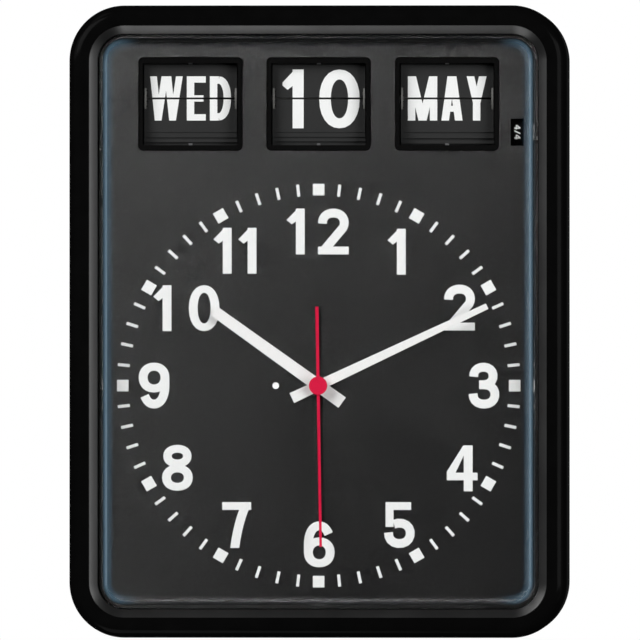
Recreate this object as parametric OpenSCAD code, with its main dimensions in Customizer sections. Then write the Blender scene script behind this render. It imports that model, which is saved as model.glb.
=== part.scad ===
// Wall calendar clock: analogue dial below three split-flap calendar displays.
// +Z is up, the face looks along -Y, and the wall is the plane y = 0.
// The origin is the centre of the keyhole in the hanger plate.

/* [Case] */
// Width of the case
case_w = 315; // [300:1:340]
// Height of the case
case_h = 400; // [390:1:430]
// Depth of the case from the wall to the rim
case_d = 85; // [84:1:100]
// Corner radius of the case seen from the front
case_r = 35; // [34:1:40]
// Rounding of the front edge
edge_r = 8; // [5:0.5:9]
// Wall thickness of the case
wall = 3; // [2:0.5:4]
// Flat crown between the rounded edge and the bevel
crown_w = 4.6; // [3:0.2:6]
// Width of the inner bevel
bevel_w = 5.8; // [4:0.2:6]
// How far the bevel drops towards the lens
bevel_drop = 4.5; // [2:0.5:6]
// Thickness of the inner skirt round the lens
skirt_t = 2.5; // [2:0.5:3]
// Hole of the keyhole below the top of the case
hang_top = 26; // [24:1:28]

/* [Lens] */
// Gap between the skirt and the lens wall
lens_gap = 2.2; // [1.5:0.1:3]
// Thickness of the clear lens
lens_t = 2; // [1.5:0.25:2.5]
// Outer rounding of the lens edge
lens_edge_r = 6; // [4:0.5:8]
// Lens front behind the rim
lens_back = 2; // [1:0.5:4]
// Foot of the lens that the skirt holds down
foot_t = 1.8; // [1.2:0.2:2.4]

/* [Dial] */
// Dial front behind the rim
dial_back = 22; // [21:0.5:24]
// Thickness of the dial plate
dial_t = 2; // [1.5:0.25:2.5]
// Clear height between the window frames and the minute track
ring_head = 20.8; // [18:0.2:24]
// Clear height between the minute track and the lens wall
ring_foot = 9.1; // [8:0.1:14]
// Side of an hour square
square_a = 7.3; // [5:0.1:9]
// Length of a minute stroke
stroke_l = 7.6; // [5:0.1:9]
// Width of a minute stroke
stroke_w = 1.9; // [1:0.1:3]
// Height of the dial numerals
num_h = 29; // [24:0.5:30]
// Stem width of the dial numerals
num_t = 5.6; // [4.6:0.1:6]
// Thickness of the ink on the dial
ink_t = 0.12; // [0.08:0.02:0.14]
// Diameter of the hole over the day disc
dot_d = 4.2; // [3:0.1:5]

/* [Hands] */
// Tip of the hour hand short of the minute track's middle
hour_short = 43; // [38:1:54]
// Tip of the minute hand short of the minute track's middle
minute_short = 6; // [6:1:19]
// Tip of the second hand short of the minute track's middle
second_short = 22; // [14:1:34]
// Tail of the hour and minute hands
hand_tail = 18.5; // [14:0.5:22]
// Tail of the second hand
second_tail = 50; // [40:1:56]
// Width of the hour hand at its tail
hour_w = 8; // [6:0.2:9]
// Width of the minute hand at its tail
minute_w = 6.9; // [5:0.1:8]
// Width of the second hand
second_w = 2; // [1.2:0.1:3]
// Thickness of a sheet hand
hand_t = 0.8; // [0.6:0.1:1]
// Diameter of the red hub cap
cap_d = 11.6; // [9:0.2:13]

/* [Calendar displays] */
// Split line below the top of the case
split_top = 58.8; // [58:0.2:61]
// Distance between neighbouring displays
unit_pitch = 81.2; // [80:0.2:82]
// Width of a leaf
leaf_w = 58.6; // [56:0.2:59]
// Reach of a leaf from the split line
leaf_h = 21.4; // [20:0.1:21.4]
// Thickness of a leaf
leaf_t = 0.26; // [0.2:0.02:0.26]
// Thickness of the ink on a leaf
leaf_ink_t = 0.07; // [0.05:0.01:0.07]
// Dark gap between the two leaves
split_gap = 1.2; // [1.1:0.1:2]
// Radius of the circle of leaf pins
drum_r = 15; // [14.8:0.1:15.2]
// Leaves behind the dial front
leaf_sink = 5.5; // [5:0.1:6.5]
// Radius of a leaf pin
pin_r = 0.45; // [0.35:0.05:0.45]
// Depth of the notch beside the split
notch_d = 1.8; // [1.6:0.1:2]
// Length of the notch from the pin
notch_l = 5; // [4.8:0.1:5.2]
// Leaves on the weekday drum
weekday_n = 28; // [28:1:28]
// Leaves on the date drum
date_n = 31; // [31:1:31]
// Leaves on the month drum
month_n = 24; // [24:1:24]
// Width of a window frame
window_w = 66; // [65:0.2:68]
// Top of a window frame above the split
window_up = 26.2; // [25.5:0.1:27]
// Foot of a window frame below the split
window_down = 33.1; // [32.5:0.1:34]
// Width of the frame's opening
opening_w = 60; // [59.6:0.1:60.4]
// Top of the opening above the split
opening_up = 22.4; // [22:0.1:23]
// Foot of the opening below the split
opening_down = 29.6; // [29:0.1:30.5]
// Frame proud of the dial
window_proud = 2; // [1:0.1:3]
// Height of the date figures
figure_h = 37.2; // [34:0.2:38]
// Height of the weekday and month letters
letter_h = 28; // [24:0.5:30]

/* [Movement] */
// Side of the square movement
move_a = 66; // [65:1:68]
// Depth of the movement's shells together
move_d = 20; // [20:0.1:21]
// Module of the motion work's teeth
mod_m = 0.6; // [0.6:0.1:0.6]
// Outer diameter of the threaded bush
bush_d = 11; // [10:0.2:12]
// Diameter of the hour pipe
hour_pipe_d = 8; // [7.6:0.1:8.2]
// Diameter of the minute pipe
minute_pipe_d = 5; // [4.6:0.1:5.4]
// Diameter of the second hand's arbor
arbor_d = 1.6; // [1.2:0.1:2]

/* [Back] */
// Thickness of the rear cover
cover_t = 3; // [2.5:0.5:4]
// Battery cell diameter
cell_d = 33; // [30:0.5:34]
// Battery cell length
cell_l = 61; // [58:0.5:62]
// Battery axis below the centre of the case
cell_drop = 125; // [120:1:130]
// Radius of the round end of the keyhole
key_r = 5; // [4:0.25:6]
// Width of the keyhole's slot
key_slot = 5; // [3:0.5:5]
// Width of the battery door
door_w = 74; // [70:1:80]
// Height of the battery door
door_h = 42; // [40:1:46]

/* [Hidden] */

$fn = 48;
eps = 0.01;
black = [0.02, 0.02, 0.02];
grey = [0.17, 0.17, 0.17];
leaf_grey = [0.2, 0.2, 0.2];
ink = [0.95, 0.96, 0.95];
red = [0.85, 0.1, 0.25];
steel = [0.7, 0.7, 0.72];
nylon = [0.85, 0.84, 0.8];
brass = [0.75, 0.6, 0.3];
copper = [0.6, 0.3, 0.12];
shell_black = [0.1, 0.1, 0.11];

// Depths along Y, from the rim at the front to the wall
rim_y = -case_d;
lens_y = rim_y + lens_back;
dial_y = rim_y + dial_back;
dial_rear = dial_y + dial_t;
cover_y = -cover_t;
leaf_y = dial_y + leaf_sink;
drum_y = leaf_y + drum_r;
move_front = dial_rear + 2.8;
move_rear = move_front + move_d;

// Distances in from the case's outer edge
lip_u = edge_r + crown_w + bevel_w;
lens_u = lip_u + lens_gap;
skirt_u = lip_u - skirt_t;
skirt_end = dial_y - foot_t - 0.4;
dial_u = 7;
post_d = 7;
post_u = (dial_u + skirt_u) / 2 + 0.6;
post_y = rim_y + wall - 0.5;

// Heights above the centre of the case
hang_h = case_h / 2 - hang_top;
split_h = case_h / 2 - split_top;
track_top = split_h - window_down - ring_head;
track_foot = lens_u + lens_t + ring_foot - case_h / 2;
track_r = (track_top - track_foot - stroke_l) / 2;
hub_z = (track_top + track_foot) / 2;

// Glyph proportions
num_w = num_h * 0.67;

// Places along X in a display, from its middle
disc_t = 1.2;
disc_in = leaf_w / 2 - notch_d + 0.4;
disc_out = disc_in + disc_t;
disc_r = drum_r + 0.9;
pin_run = 0.05;
ratchet_x0 = leaf_w / 2 + 0.4;
ratchet_x1 = ratchet_x0 + 1.4;
ratchet_r = 12;
side_x0 = ratchet_x1 + 1.1;
side_t = 2;
shaft_r = 2;

foot_l = 5.5;
pad_t = 2;
foot_x = side_x0 + side_t + 3;
foot_places = [for (s = [-1, 1], z = [-14, 14]) [s * foot_x, z]];

// Shared helpers

module at_centre() translate([0, 0, -hang_h]) children();

module at_hub() at_centre() translate([0, 0, hub_z]) children();

module rod_y(r, y0, y1) translate([0, y1, 0]) rotate([90, 0, 0]) cylinder(r = r, h = y1 - y0);

module rod_x(r, x0, x1) translate([x0, 0, 0]) rotate([0, 90, 0]) cylinder(r = r, h = x1 - x0);

// A flat outline in X and Z, thick from y0 to y1
module slab_y(y0, y1) translate([0, y1, 0]) rotate([90, 0, 0]) linear_extrude(y1 - y0) children();

module rounded(w, h, r) {
    square([w - 2 * r, h], center = true);
    square([w, h - 2 * r], center = true);
    for (sx = [-1, 1], sz = [-1, 1])
        translate([sx * (w / 2 - r), sz * (h / 2 - r)]) circle(r);
}

// A profile (u in from the edge, y) carried round a rounded rectangle
module frame_sweep(w, h, r) {
    for (sx = [0, 1]) mirror([sx, 0, 0]) {
        translate([-w / 2, 0, r - h / 2]) linear_extrude(h - 2 * r) children();
        for (sz = [0, 1]) mirror([0, 0, sz])
            translate([w / 2 - r, 0, r - h / 2]) rotate([-90, 0, 0])
                rotate_extrude(angle = 90) translate([r, 0]) mirror([1, 0]) children();
    }
    for (sz = [0, 1]) mirror([0, 0, sz])
        rotate([0, 90, 0]) translate([-h / 2, 0, r - w / 2]) linear_extrude(w - 2 * r) children();
}

function arc(cx, cy, rx, ry, a0, a1, n = 10) =
    [for (i = [0 : n]) let (a = a0 + (a1 - a0) * i / n) [cx + rx * cos(a), cy + ry * sin(a)]];

function turned(p) = [for (i = [len(p) - 1 : -1 : 0]) p[i]];

// A fuller arc than an ellipse's, as in a bold figure
bow_p = 0.93;

function bow(cx, cy, rx, ry, a0, a1, n = 14) = [for (i = [0 : n]) let (a = a0 + (a1 - a0) * i / n)
    [cx + rx * sign(cos(a)) * pow(abs(cos(a)), bow_p), cy + ry * sign(sin(a)) * pow(abs(sin(a)), bow_p)]];

function side_of(p, i) = let (d = p[min(i + 1, len(p) - 1)] - p[max(i - 1, 0)]) [-d[1], d[0]] / norm(d);

// A stroke t wide along a line of points
module stroke(p, t) polygon(concat([for (i = [0 : len(p) - 1]) p[i] + side_of(p, i) * t / 2],
                                   [for (i = [len(p) - 1 : -1 : 0]) p[i] - side_of(p, i) * t / 2]));

module oval_ring(cx, cy, rx, ry, tx, ty) difference() {
    polygon(bow(cx, cy, rx, ry, 0, 345, 23));
    polygon(bow(cx, cy, rx - tx, ry - ty, 0, 345, 23));
}

// Figures, each in a box w wide and h high with stem t, from its lower left corner

module fig_0(w, h, t) oval_ring(w / 2, h / 2, w / 2, h / 2, t, t * 0.85);

module fig_1(w, h, t) {
    x = w * 0.62;
    translate([x - t, 0]) square([t, h]);
    polygon([[x - t + eps, h], [x - t + eps, h * 0.72], [x - t * 1.45, h * 0.655],
             [x - t * 2.05, h * 0.75], [x - t * 0.8, h]]);
}

module fig_2(w, h, t) {
    square([w, t * 0.88]);
    stroke(concat(bow(w / 2, h * 0.69, (w - t) / 2, h * 0.31 - t / 2, 184, -28), [[t * 0.62, t * 0.4]]), t);
}

module fig_3(w, h, t) {
    mid = h * 0.52;
    up = (h - t / 2 - mid) / 2;
    low = (mid - t / 2) / 2;
    stroke(concat(bow(w * 0.48, mid + up, w * 0.46 - t / 2, up, 184, -90), [[w * 0.34, mid]]), t);
    stroke(concat([[w * 0.34, mid]], bow(w / 2, mid - low, (w - t) / 2, low, 90, -184)), t);
}

module fig_4(w, h, t) {
    tb = t * 0.85;
    x = w * 0.84;
    translate([x - t, 0]) square([t, h]);
    translate([0, h * 0.24]) square([w, tb]);
    polygon([[0, h * 0.24], [0, h * 0.24 + tb * 1.15], [x - t * 1.05, h], [x - t + eps, h],
             [x - t + eps, h * 0.78], [t * 0.98, h * 0.24 + tb], [t * 0.98, h * 0.24]]);
}

module fig_5(w, h, t) {
    translate([w * 0.08, h - t * 0.88]) square([w * 0.8, t * 0.88]);
    translate([w * 0.05, h * 0.46]) square([t * 0.9, h * 0.54]);
    stroke(bow(w / 2, h * 0.32, (w - t) / 2, h * 0.32 - t / 2, 118, -184), t);
}

module fig_6(w, h, t) {
    oval_ring(w / 2, h * 0.325, w / 2, h * 0.325, t, t * 0.9);
    stroke(concat(bow(w / 2, h / 2, (w - t) / 2, (h - t) / 2, 32, 180), [[t / 2, h * 0.32]]), t);
}

module fig_7(w, h, t) {
    ww = w * 0.94;
    translate([0, h - t * 0.88]) square([ww, t * 0.88]);
    stroke([for (k = [0 : 0.125 : 1]) let (m = 1 - k)
        m * m * [ww - t * 0.62, h - t * 0.4] + 2 * k * m * [w * 0.5, h * 0.52] + k * k * [w * 0.4, -t * 0.2]], t);
}

module fig_8(w, h, t) {
    oval_ring(w / 2, h * 0.285, w / 2, h * 0.285, t, t * 0.88);
    oval_ring(w / 2, h * 0.755, w * 0.46, h * 0.245, t * 0.95, t * 0.88);
}

module fig_9(w, h, t) translate([w, h]) rotate(180) fig_6(w, h, t);

module figure(n, w, h, t) intersection() {
    square([w, h]);
    union() {
        if (n == 0) fig_0(w, h, t);
        if (n == 1) fig_1(w, h, t);
        if (n == 2) fig_2(w, h, t);
        if (n == 3) fig_3(w, h, t);
        if (n == 4) fig_4(w, h, t);
        if (n == 5) fig_5(w, h, t);
        if (n == 6) fig_6(w, h, t);
        if (n == 7) fig_7(w, h, t);
        if (n == 8) fig_8(w, h, t);
        if (n == 9) fig_9(w, h, t);
    }
}

// Capital letters, condensed and bold, in the same box

module bars(w, h, t, left, right, levels) {
    if (left) square([t, h]);
    if (right) translate([w - t, 0]) square([t, h]);
    for (z = levels) translate([0, z * (h - t * 0.85)]) square([w, t * 0.85]);
}

// A slanted stroke from (x0, z0) to (x1, z1), w wide along X
module slant(x0, z0, x1, z1, w) polygon([[x0, z0], [x0 + w, z0], [x1 + w, z1], [x1, z1]]);

module letter(c, w, h, t) {
    if (c == "A") {
        slant(0, 0, w / 2 - t * 0.6, h, t * 1.02);
        slant(w - t * 1.02, 0, w / 2 - t * 0.42, h, t * 1.02);
        translate([w * 0.22, h * 0.2]) square([w * 0.56, t * 0.8]);
    }
    if (c == "D") {
        square([t, h]);
        stroke(bow(w * 0.42, h / 2, w * 0.58 - t / 2, (h - t) / 2, -90, 90), t);
        for (z = [0, h - t]) translate([t - eps, z]) square([w * 0.42 - t + 0.1, t]);
    }
    if (c == "E") bars(w, h, t, true, false, [0, 1]);
    if (c == "E") translate([0, (h - t * 0.85) / 2]) square([w * 0.88, t * 0.85]);
    if (c == "H") bars(w, h, t, true, true, [0.5]);
    if (c == "J") {
        translate([w - t, h * 0.3]) square([t, h * 0.7]);
        stroke(bow(w / 2, h * 0.3, (w - t) / 2, h * 0.3 - t / 2, -180, 0), t);
    }
    if (c == "M") {
        bars(w, h, t, true, true, []);
        slant(w / 2 - t * 0.55, 0, 0, h, t * 1.1);
        slant(w / 2 - t * 0.55, 0, w - t * 1.1, h, t * 1.1);
    }
    if (c == "N") {
        bars(w, h, t, true, true, []);
        slant(w - t * 1.15, 0, 0, h, t * 1.15);
    }
    if (c == "T") {
        translate([0, h - t * 0.85]) square([w, t * 0.85]);
        translate([(w - t) / 2, 0]) square([t, h]);
    }
    if (c == "U") {
        for (x = [0, w - t]) translate([x, h * 0.3]) square([t, h * 0.7]);
        stroke(bow(w / 2, h * 0.3, (w - t) / 2, h * 0.3 - t / 2, -180, 0), t);
    }
    if (c == "W") {
        for (x = [0, w / 2 - t * 0.25]) {
            slant(w * 0.2 + x - t * 0.25, 0, x, h, t * 0.9);
            slant(w * 0.2 + x - t * 0.25, 0, x + w / 2 - t * 0.65, h, t * 0.9);
        }
    }
    if (c == "Y") {
        translate([(w - t) / 2, 0]) square([t, h * 0.45]);
        slant((w - t) / 2, h * 0.4, 0, h, t * 1.02);
        slant((w - t) / 2, h * 0.4, w - t * 1.02, h, t * 1.02);
    }
}

// Words and numbers for the displays, centred on the split line
weekday_now = [["W", 20.6], ["E", 12], ["D", 13.4]];
weekday_next = [["T", 13], ["H", 14], ["U", 13.6]];
month_now = [["M", 18.6], ["A", 13.4], ["Y", 12.6]];
month_next = [["J", 11.4], ["U", 13], ["N", 13.6]];
letter_space = 2.6;
letter_t = 4.7;
figure_t = 7;

function word_w(word, i = 0) =
    i == len(word) ? -letter_space : word[i][1] + letter_space + word_w(word, i + 1);

function letter_x(word, i) = i == 0 ? 0 : letter_x(word, i - 1) + word[i - 1][1] + letter_space;

module word(word)
    for (i = [0 : len(word) - 1])
        translate([letter_x(word, i) - word_w(word) / 2, -letter_h / 2])
            letter(word[i][0], word[i][1], letter_h, letter_t);

module date_number(tens, ones) {
    w = figure_h * 0.69;
    translate([-23, -figure_h / 2 - 0.3]) figure(tens, w * 0.84, figure_h, figure_t);
    translate([ones == 1 ? -4.2 : 0.2, -figure_h / 2 - 0.3])
        figure(ones, ones == 1 ? w * 0.84 : w, figure_h, figure_t * 1.05);
}

// Case

module case_profile() {
    u1 = lip_u - bevel_w;
    inner = edge_r - wall;
    polygon(concat(
        [[0, cover_y]],
        arc(edge_r, rim_y + edge_r, edge_r, edge_r, 180, 270, 8),
        [[u1, rim_y], [lip_u, rim_y + bevel_drop], [lip_u, skirt_end],
         [skirt_u, skirt_end], [skirt_u, rim_y + bevel_drop + wall * 0.8],
         [u1 - 0.4, rim_y + wall]],
        arc(edge_r, rim_y + edge_r, inner, inner, 270, 180, 6),
        [[wall, cover_y]]));
}

// Where the rear cover's screws go, in the four corners
corner_u = case_r - (case_r - wall - post_d / 2 - 0.6) * sqrt(0.5);

module corner_places()
    for (sx = [-1, 1], sz = [-1, 1])
        translate([sx * (case_w / 2 - corner_u), 0, sz * (case_h / 2 - corner_u)]) children();

// Where the dial plate is screwed down, along the two sides
module dial_places()
    for (sx = [-1, 1], z = [-105, 105])
        translate([sx * (case_w / 2 - post_u), 0, z]) children();

module front_case() color(black) at_centre() {
    frame_sweep(case_w, case_h, case_r) case_profile();
    corner_places() difference() {
        rod_y(post_d / 2, post_y, cover_y);
        rod_y(1.2, cover_y - 14, cover_y + 1);
    }
    dial_places() difference() {
        rod_y(post_d / 2, post_y, dial_y);
        rod_y(1, dial_y - 8, dial_y + 1);
    }
}

// Lens

module lens_profile() {
    foot_y = dial_y - foot_t - 0.2;
    u0 = skirt_u + 0.3;
    ro = lens_edge_r;
    ri = lens_edge_r - lens_t;
    polygon(concat(
        [[u0, foot_y], [u0, foot_y + foot_t], [lens_u + lens_t, foot_y + foot_t]],
        arc(lens_u + ro, lens_y + ro, ri, ri, 180, 270, 8),
        turned(arc(lens_u + ro, lens_y + ro, ro, ro, 180, 270, 10)),
        [[lens_u, foot_y]]));
}

module front_lens() color([0.8, 0.9, 1, 0.3]) at_centre() {
    u = lens_u + lens_edge_r;
    frame_sweep(case_w, case_h, case_r) lens_profile();
    slab_y(lens_y, lens_y + lens_t) rounded(case_w - 2 * u, case_h - 2 * u, case_r - u);
}

// Dial

tag_out = 44.4;
tag_drop = 21.4;
tag_x = unit_pitch + tag_out;
tag_z = split_h - tag_drop;
tag_w = 8.2;
tag_h = 17;
dot_x = -27.2;
dial_corner_r = 50;
collar_t = 1.5;

// The three displays' places along X
unit_x = [-unit_pitch, 0, unit_pitch];

module at_unit(i) at_centre() translate([unit_x[i], 0, split_h]) children();

module window_outline(w, up, down, r)
    translate([0, (up - down) / 2]) rounded(w, up + down, r);

module dial_plate() color(grey) difference() {
    at_centre() slab_y(dial_y, dial_rear) difference() {
        rounded(case_w - 2 * dial_u, case_h - 2 * dial_u, dial_corner_r);
        for (x = unit_x) translate([x, split_h])
            window_outline(opening_w + 2 * collar_t + 0.6, opening_up + collar_t + 0.3,
                           opening_down + collar_t + 0.3, 2.5);
        translate([tag_x, tag_z]) square([tag_w, tag_h], center = true);
    }
    at_hub() rod_y(bush_d / 2 + 0.2, dial_y - 1, dial_rear + 1);
    at_hub() translate([dot_x, 0, 0]) rod_y(dot_d / 2, dial_y - 1, dial_rear + 1);
    at_centre() dial_places() rod_y(1.4, dial_y - 1, dial_rear + 1);
    for (i = [0 : 2], p = foot_places) at_unit(i) translate([p[0], 0, p[1]])
        rod_y(0.9, dial_rear - 1.4, dial_rear + 1);
}

// Numerals' centres, measured from the hub, for a minute track of radius num_track_r
num_track_r = 124;
num_at = [[0, 97.5], [50.5, 84.7], [89.1, 49.4], [104.6, 0], [90.8, -52.3], [51.1, -88.2],
          [0.4, -100.4], [-51.3, -88.2], [-89.4, -52], [-104.2, 0], [-83.4, 49], [-51.8, 85.3]];

module numeral(n) {
    gap = 1.2;
    one_w = num_w * 0.62;
    if (n < 10) translate([n == 1 ? -one_w * 0.62 : -num_w / 2, -num_h / 2])
        figure(n, num_w, num_h, num_t);
    if (n == 10) {
        translate([-num_w - gap * 2, -num_h / 2]) figure(1, num_w, num_h, num_t);
        translate([gap, -num_h / 2]) figure(0, num_w, num_h, num_t);
    }
    if (n == 11) for (s = [-1, 1])
        translate([s * num_w * 0.405 - one_w * 0.62, -num_h / 2]) figure(1, num_w, num_h, num_t);
    if (n == 12) {
        translate([-num_w - gap * 1.2, -num_h / 2]) figure(1, num_w, num_h, num_t);
        translate([-gap / 2 + 0.2, -num_h / 2]) figure(2, num_w, num_h, num_t);
    }
}

module hour_numerals() color(ink) at_hub() slab_y(dial_y - ink_t, dial_y)
    for (i = [0 : 11])
        translate(num_at[i] * track_r / num_track_r) numeral(i == 0 ? 12 : i);

module minute_track() color(ink) at_hub() slab_y(dial_y - ink_t, dial_y)
    for (i = [0 : 59]) rotate(-6 * i) translate([0, track_r])
        square(i % 5 == 0 ? [square_a, square_a] : [stroke_w, stroke_l], center = true);

// Window frames: a face ring on the dial and a collar through it

module window_frame(i) color(black) at_unit(i) difference() {
    union() {
        slab_y(dial_y - window_proud, dial_y) window_outline(window_w, window_up, window_down, 3.2);
        slab_y(dial_y - eps, dial_rear + 1)
            window_outline(opening_w + 2 * collar_t, opening_up + collar_t, opening_down + collar_t, 2.2);
    }
    slab_y(dial_y - 4, dial_rear + 3) window_outline(opening_w, opening_up, opening_down, 1.2);
}

module weekday_window_frame() window_frame(0);

module date_window_frame() window_frame(1);

module month_window_frame() window_frame(2);

// Small bent tabs that hold the leaves in, on the frame's edge at the top and the foot
hook_w = 2.4;

module leaf_hooks() color(steel) for (i = [0 : 2]) at_unit(i) {
    translate([-hook_w / 2, dial_rear + 1, leaf_h + 0.25]) cube([hook_w, 0.5, opening_up + 1.6 - leaf_h]);
    translate([-hook_w / 2, dial_rear + 1, -opening_down - 1.4]) cube([hook_w, 0.5, 2.6]);
}

// Split-flap displays

leaves = [weekday_n, date_n, month_n];

function step_deg(i) = 360 / leaves[i];

// A leaf's pin above the split line, at rest
function pin_z(i) = drum_r * sin(step_deg(i) / 2);

function pin_front(i) = drum_r * cos(step_deg(i) / 2);

// One leaf standing on its pins, which lie on the X axis
module leaf(i) {
    reach = leaf_h - pin_z(i);
    back = pin_z(i) - split_gap / 2;
    narrow = leaf_w / 2 - notch_d;
    translate([0, leaf_t / 2, 0]) rotate([90, 0, 0]) linear_extrude(leaf_t) polygon([
        [-narrow, -back], [narrow, -back], [narrow, notch_l], [leaf_w / 2, notch_l],
        [leaf_w / 2, reach], [-leaf_w / 2, reach], [-leaf_w / 2, notch_l], [-narrow, notch_l]]);
    for (s = [0, 1]) mirror([s, 0, 0]) rod_x(pin_r, narrow - 1.2, disc_out);
}

// A leaf that stands: k steps behind the one in front
module standing(i, k) at_unit(i) translate([0, drum_y, 0]) rotate([-k * step_deg(i), 0, 0])
    translate([0, -pin_front(i), pin_z(i)]) children();

// A leaf that hangs: j steps below the first one
module hanging(i, j) at_unit(i)
    translate([0, drum_y - drum_r * cos((j + 0.5) * step_deg(i)), -drum_r * sin((j + 0.5) * step_deg(i))])
        rotate([180, 0, 0]) children();

module leaf_pack(i) color(leaf_grey) {
    n = leaves[i];
    for (k = [1 : ceil(n / 2) - 1]) standing(i, k) leaf(i);
    for (j = [0 : floor(n / 2) - 1]) hanging(i, j) leaf(i);
}

module falling_leaf(i) color(leaf_grey) standing(i, 0) leaf(i);

module weekday_leaf_pack() leaf_pack(0);

module date_leaf_pack() leaf_pack(1);

module month_leaf_pack() leaf_pack(2);

module weekday_falling_leaf() falling_leaf(0);

module date_falling_leaf() falling_leaf(1);

module month_falling_leaf() falling_leaf(2);

// What each display shows before and after its leaf falls
module shown(i, next) {
    if (i == 0) word(next ? weekday_next : weekday_now);
    if (i == 1) date_number(1, next ? 1 : 0);
    if (i == 2) word(next ? month_next : month_now);
}

// Half of a display's text: 1 keeps what is above the split, -1 what is below
module half_text(i, next, side) intersection() {
    shown(i, next);
    translate([0, side * (leaf_h / 2 + split_gap / 2)]) square([leaf_w, leaf_h], center = true);
}

// Ink on the front of a leaf that stands upright, in the display's own plane
module ink_front(i, next) translate([0, 0, -pin_z(i)])
    slab_y(-leaf_t / 2 - leaf_ink_t, -leaf_t / 2) half_text(i, next, 1);

// Ink on the back of the leaf that falls, upside down until it has fallen
module ink_back(i) rotate([180, 0, 0]) translate([0, 0, pin_z(i)])
    slab_y(-leaf_t / 2 - leaf_ink_t, -leaf_t / 2) half_text(i, true, -1);

module pack_print(i) color(ink) {
    standing(i, 1) ink_front(i, true);
    at_unit(i) translate([0, drum_y - pin_front(i), 0])
        slab_y(-leaf_t / 2 - leaf_ink_t, -leaf_t / 2) half_text(i, false, -1);
}

module falling_print(i) color(ink) standing(i, 0) {
    ink_front(i, false);
    ink_back(i);
}

module weekday_pack_print() pack_print(0);

module date_pack_print() pack_print(1);

module month_pack_print() pack_print(2);

module weekday_falling_print() falling_print(0);

module date_falling_print() falling_print(1);

module month_falling_print() falling_print(2);

// Saw teeth whose steep sides face the wall at the top of the wheel
function ratchet_points(n, r, d) =
    [for (i = [0 : n - 1], s = [0, 1]) let (a = 90 + i * 360 / n + 0.8)
        [(r - s * d) * cos(a), (r - s * d) * sin(a)]];

// The two discs with their pin holes, the tube between them and the ratchet wheel
module drum(i) color(nylon) at_unit(i) translate([0, drum_y, 0]) difference() {
    union() {
        for (s = [0, 1]) mirror([s, 0, 0]) rod_x(disc_r, disc_in, disc_out);
        rod_x(shaft_r + 2, -disc_in - eps, ratchet_x1);
        rod_x(9, disc_out - eps, ratchet_x0 + eps);
        translate([ratchet_x0, 0, 0]) rotate([90, 0, 90])
            linear_extrude(ratchet_x1 - ratchet_x0)
                mirror([1, 0]) polygon(ratchet_points(leaves[i], ratchet_r, 1.4));
    }
    rod_x(shaft_r + 0.05, -disc_out - 1, ratchet_x1 + 1);
    for (k = [0 : leaves[i] - 1], s = [0, 1]) rotate([-(k + 0.5) * step_deg(i), 0, 0])
        translate([0, -drum_r, 0]) mirror([s, 0, 0]) rod_x(pin_r + pin_run, disc_in - 1, disc_out + 0.1);
}

module weekday_drum() drum(0);

module date_drum() drum(1);

module month_drum() drum(2);

module drum_shafts() color(steel) for (i = [0 : 2])
    at_unit(i) translate([0, drum_y, 0]) rod_x(shaft_r, -side_x0 - side_t - 0.6, side_x0 + side_t + 0.6);

// Unit frame: two side plates on feet, joined by a bridge just behind the sweep of the leaves
bridge_y = drum_y + norm([drum_r, leaf_h]) + 0.5;
bridge_t = 2;
bridge_h = 26;
side_h = 34;
blade_z = ratchet_r + 0.35;
blade_h = 2.6;
blade_x0 = ratchet_x0 + 0.1;
blade_x1 = ratchet_x1 - 0.1;

module unit_side() difference() {
    union() {
        translate([side_x0, dial_rear, -side_h / 2])
            cube([side_t, bridge_y + bridge_t - dial_rear, side_h]);
        for (z = [-14, 14]) translate([side_x0 + side_t - eps, dial_rear, z - 3])
            cube([foot_l, pad_t, 6]);
    }
    translate([0, drum_y, 0]) rod_x(shaft_r + 0.02, side_x0 - 1, side_x0 + side_t + 1);
    for (z = [-14, 14]) translate([foot_x, 0, z])
        rod_y(1.3, dial_rear - 1, dial_rear + 6);
}

module unit_frame(i) color(shell_black) at_unit(i) difference() {
    union() {
        for (s = [0, 1]) mirror([s, 0, 0]) unit_side();
        translate([-side_x0 - eps, bridge_y, side_h / 2 - bridge_h])
            cube([2 * side_x0 + 2 * eps, bridge_t, bridge_h]);
        if (i == 2) translate([0, year_y, year_z]) rod_x(1.5, side_x0, year_x1 + 1.2);
        if (i == 2) translate([0, year_y, year_z]) rod_x(3, side_x0 + side_t - eps, year_x0 - 0.3);
        if (i == 2) translate([side_x0, year_y - 4, year_z - 4]) cube([side_t, 8, 5 - side_h / 2 - year_z]);
        if (i == 2) translate([0, year_y, year_z]) rod_x(2.8, year_x1 + 0.3, year_x1 + 1.2);
    }
    translate([blade_x0 - 0.15, bridge_y - 1, blade_z - 0.15])
        cube([blade_x1 - blade_x0 + 0.3, bridge_t + 2, blade_h + 0.3]);
}

module weekday_unit_frame() unit_frame(0);

module date_unit_frame() unit_frame(1);

module month_unit_frame() unit_frame(2);

// Setting plunger: a push on its head moves one ratchet tooth by one step
head_r = 4.5;
head_y = -1.2;
head_t = 4;

module set_plunger(i) color(nylon) at_unit(i) {
    x = (blade_x0 + blade_x1) / 2;
    tip_y = drum_y + 0.3;
    w = blade_x1 - blade_x0;
    translate([blade_x0, tip_y, blade_z]) cube([w, head_y - head_t - tip_y + eps, blade_h]);
    translate([blade_x0, tip_y, blade_z - 0.9]) cube([w, 0.8, 1.2]);
    translate([x, 0, blade_z + blade_h / 2]) rod_y(head_r, head_y - head_t, head_y);
}

module weekday_set_plunger() set_plunger(0);

module date_set_plunger() set_plunger(1);

module month_set_plunger() set_plunger(2);

// Year wheel behind the tag window, on a stud of the month unit
year_r = 11.5;
year_y = dial_rear + 0.6 + year_r;
year_z = -tag_drop;
year_half = 4.3;
year_x0 = tag_x - unit_pitch - year_half;
year_x1 = tag_x - unit_pitch + year_half;

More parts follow.
